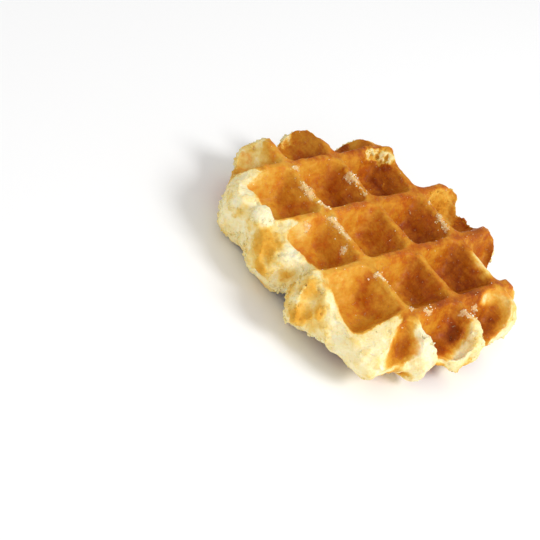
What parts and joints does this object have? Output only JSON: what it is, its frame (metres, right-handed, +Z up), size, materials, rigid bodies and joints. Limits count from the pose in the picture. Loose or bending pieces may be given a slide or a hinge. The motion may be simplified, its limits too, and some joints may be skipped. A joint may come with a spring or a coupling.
{
  "type": "belgian waffle",
  "caption": "Thick Belgian waffle with an uneven edge and square pockets pressed into both faces, lying flat.",
  "frame": {"origin": "centre of the bounding box in plan, at the plane it rests on", "axes": "+X and +Y along the two sets of ribs, +Z up through the thickness"},
  "size_m": [0.1114, 0.1182, 0.0258],
  "materials": {
    "crust": "satin baked crust, paler and dull where the dough touched no iron"
  },
  "bodies": {
    "root": {"waffle": "crust"}
  },
  "joints": []
}
